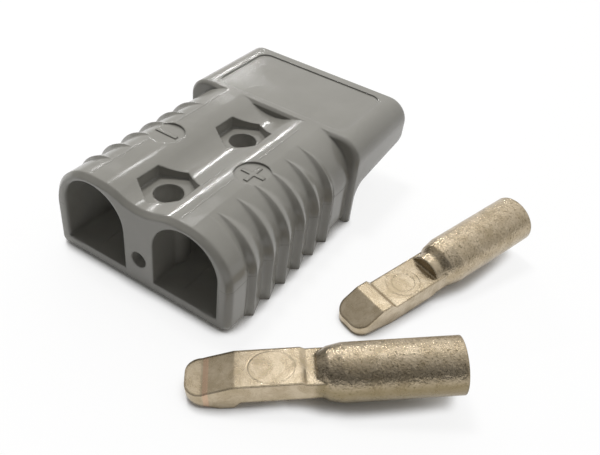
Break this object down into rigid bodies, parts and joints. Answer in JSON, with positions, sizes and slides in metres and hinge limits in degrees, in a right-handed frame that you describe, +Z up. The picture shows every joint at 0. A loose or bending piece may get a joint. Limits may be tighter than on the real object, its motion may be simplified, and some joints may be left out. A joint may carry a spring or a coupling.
{
  "type": "genderless power connector",
  "caption": "Genderless battery power connector: moulded hood and arched ribbed body with wire cavities and bolt holes, loose crimp contacts beside it.",
  "frame": {"origin": "on the housing's base face, midway between its two mounting holes", "axes": "+X across the two poles, +Y from the wire end to the mating end, +Z up through the mounting holes"},
  "size_m": [0.1017, 0.0982, 0.0245],
  "materials": {
    "housing": "glossy warm grey moulding",
    "spring": "bright rolled strip",
    "contact": "silver plated copper"
  },
  "bodies": {
    "root": {"housing": "housing", "leaf_spring_left": "spring", "leaf_spring_right": "spring", "contact_near": "contact", "contact_far": "contact"}
  },
  "joints": []
}
